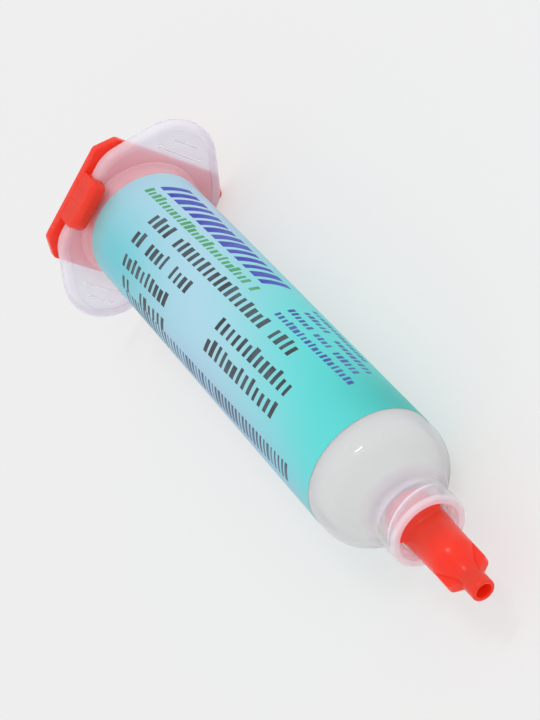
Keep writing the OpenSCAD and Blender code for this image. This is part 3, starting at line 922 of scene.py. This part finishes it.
def make_end_cap():
    cap = prism("end_cap_moulding", plate_outline(), (PLATE_FRONT - PLATE_T, PLATE_FRONT), PLATE_BEVEL, "x")
    for side in (1, -1):
        cut_with(cap, make_clip(side), "UNION")
        cut_with(cap, parting_line(side), "UNION")
    plug_end = PLATE_FRONT + PLUG_LEN
    rings = [(PLATE_FRONT - PLATE_T / 2, PLUG_R - PLUG_WALL), (PLATE_FRONT - PLATE_T / 2, PLUG_R),
             (plug_end - 0.5, PLUG_R), (plug_end, PLUG_R - 0.5), (plug_end, PLUG_R - PLUG_WALL)]
    plug = ring_piece("plug", rings, ANGLES, loop=True)
    point_outwards(plug)
    cut_with(cap, plug, "UNION")
    return cap


on_bench(make_end_cap(), red_plastic, "end_cap", "red_polyethylene", "end_cap")


# Tip cap


def soft_max(a, b, blend):
    """The larger of two radii, with a small fillet where they cross."""
    mix = np.clip(0.5 + 0.5 * (a - b) / blend, 0, 1)
    return b + (a - b) * mix + blend * mix * (1 - mix)


def fin_half_width(x):
    tangent_x = FIN_CORNER_X + FIN_CORNER_R * math.cos(FIN_SLOPE)
    tangent_y = BODY_END_R - FIN_CORNER_R + FIN_CORNER_R * math.sin(FIN_SLOPE)
    if x <= FIN_CORNER_X:
        return BODY_END_R
    if x <= tangent_x:
        return BODY_END_R - FIN_CORNER_R + math.sqrt(max(FIN_CORNER_R ** 2 - (x - FIN_CORNER_X) ** 2, 0))
    return max(tangent_y - (x - tangent_x) / math.tan(FIN_SLOPE), 0)


def body_side(x):
    """Radius of the cap's round part at x: its drafted side, then an S-shaped taper to the nub."""
    if x <= TAPER_START:
        return float(np.interp(x, [LUG_TOP, TAPER_START], [CAP_R, BODY_END_R]))
    t = min((x - TAPER_START) / TAPER_LEN, 1)
    return between(BODY_END_R, NUB_R, ease(t))


def cap_radius(x):
    """Radius of the cap's outside at x in each direction: body, lugs, flare, taper and fins."""
    turn = CAP_ANGLES - CAP_TURN
    across, up = np.abs(np.cos(turn)) + 1e-6, np.abs(np.sin(turn)) + 1e-6
    side = body_side(x)
    radius = np.full(CAP_ANGLES.shape, side)
    if LUG_REAR <= x <= LUG_TOP + FLARE:
        crest = side + FLARE
        if x > LUG_TOP:
            crest -= math.sqrt(max(FLARE ** 2 - (x - LUG_TOP - FLARE) ** 2, 0))
        for ends in LUG_ENDS:
            lug = np.clip(inside_arc(CAP_ANGLES, ends) / 4, 0, 1)
            radius = np.maximum(radius, between(side, crest, ease(lug)))
    width = fin_half_width(x) if x > TAPER_START - 0.5 else 0
    if width > 0:
        fin = np.minimum(width / across, FIN_HALF_T / up)
        radius = np.minimum(soft_max(radius, fin, FIN_BLEND), max(side, BODY_END_R))
    return radius


def make_tip_cap():
    socket_r = TIP_R + SEAT
    socket_mouth_r = socket_r + LUER_SLOPE * (TIP_END - HUB_X)
    rings = [(SOCKET_END, socket_r - LUER_SLOPE * (SOCKET_END - TIP_END)), (HUB_X + 0.1, socket_mouth_r),
             (HUB_X, socket_mouth_r + 0.1), (HUB_X, HUB_R - 0.15), (HUB_X + 0.15, HUB_R)]
    rings += [(LUG_REAR - 0.02, HUB_R), (LUG_REAR, (cap_radius(LUG_REAR) + HUB_R) / 2),
              (LUG_REAR + 0.02, cap_radius(LUG_REAR + 0.02) - 0.03)]
    stations = [LUG_REAR + 0.08, LUG_TOP - 0.08]
    stations += [LUG_TOP + FLARE * t for t in np.linspace(0.02, 1, 12)]
    stations += list(np.linspace(LUG_TOP + FLARE + 0.2, TAPER_START - 0.5, 4))
    stations += list(np.linspace(TAPER_START - 0.4, NUB_START + 0.1, 52))
    rings += [(x, cap_radius(x)) for x in stations]
    rings += arc(CAP_END - NUB_EDGE, NUB_R - NUB_EDGE, NUB_EDGE, 90, 0, 5)
    rings += arc(CAP_END - 0.2, NUB_HOLE_R + 0.2, 0.2, 0, -90, 5)
    rings += [(CAP_END - NUB_HOLE_DEPTH + 0.2, NUB_HOLE_R), (CAP_END - NUB_HOLE_DEPTH, NUB_HOLE_R - 0.2)]
    return ring_piece("tip_cap_moulding", rings, CAP_ANGLES)


on_bench(make_tip_cap(), red_plastic, "tip_cap", "red_polyethylene", "tip_cap")


# Stage


def make_camera():
    """The photo's view, as its outline gave it."""
    data = bpy.data.cameras.new("view")
    data.lens, data.sensor_width, data.sensor_fit = LENS, 36, "AUTO"
    data.clip_start = 0.01
    camera = bpy.data.objects.new("view", data)
    turn = BENCH.to_3x3().normalized()
    back = (turn @ (CAMERA_AT - LOOK_AT)).normalized()
    down = turn @ IMAGE_DOWN
    right = (-back).cross(-down).normalized()
    up = back.cross(right)
    axes = Matrix((right, up, back)).transposed().to_4x4()
    camera.matrix_world = Matrix.Translation(BENCH @ CAMERA_AT) @ axes
    bpy.context.scene.collection.objects.link(camera)
    bpy.context.scene.camera = camera


def make_floor():
    """A plain floor for the shadow: to the camera, FLOOR_GLOW of it is the backdrop's own colour."""
    floor = mesh_object("floor", [(-2, -2, 0), (2, -2, 0), (2, 2, 0), (-2, 2, 0)], [(0, 1, 2, 3)])
    material, tree = new_finish("pale_floor")
    paper = tree.node("ShaderNodeBsdfDiffuse", {}, BACKDROP)
    glow = tree.node("ShaderNodeEmission", {}, BACKDROP)
    seen = tree.node("ShaderNodeLightPath").value("Is Camera Ray")
    shader = tree.node("ShaderNodeMixShader", {}, FLOOR_GLOW * seen, paper, glow)
    floor.data.materials.append(close_finish(material, tree, shader))


def soft_light(name, direction, distance, width, length, level):
    """A strip lamp that faces the part. Level is what it adds to a white surface that faces it."""
    data = bpy.data.lights.new(name, "AREA")
    data.shape, data.size, data.size_y = "ELLIPSE", width, length
    data.energy = level * math.pi * math.pi * (distance ** 2 + width * length / 4)
    lamp = bpy.data.objects.new(name, data)
    lamp.location = Vector(direction).normalized() * distance
    lamp.rotation_euler = (-lamp.location).to_track_quat("-Z", "Y").to_euler()
    bpy.context.scene.collection.objects.link(lamp)


def make_world(level):
    """A white light tent, which shows the backdrop's colour to the camera."""
    world = bpy.data.worlds.new("tent")
    world.use_nodes = True
    tree = Tree(world.node_tree)
    world.node_tree.nodes.clear()
    path = tree.node("ShaderNodeLightPath")
    seen = path.value("Is Camera Ray") + path.value("Is Glossy Ray") + path.value("Is Transmission Ray")
    colour = mix_colour(tree, seen.math("MINIMUM", 1.0), (level, level, level, 1), BACKDROP)
    tree.node("ShaderNodeOutputWorld", {}, tree.node("ShaderNodeBackground", {}, colour))
    bpy.context.scene.world = world


make_camera()
make_floor()
make_world(level=0.9)
soft_light("key", (0.03, 0.48, 0.87), distance=0.6, width=0.02, length=0.13, level=0.12)
bpy.context.scene.view_settings.view_transform = "Standard"
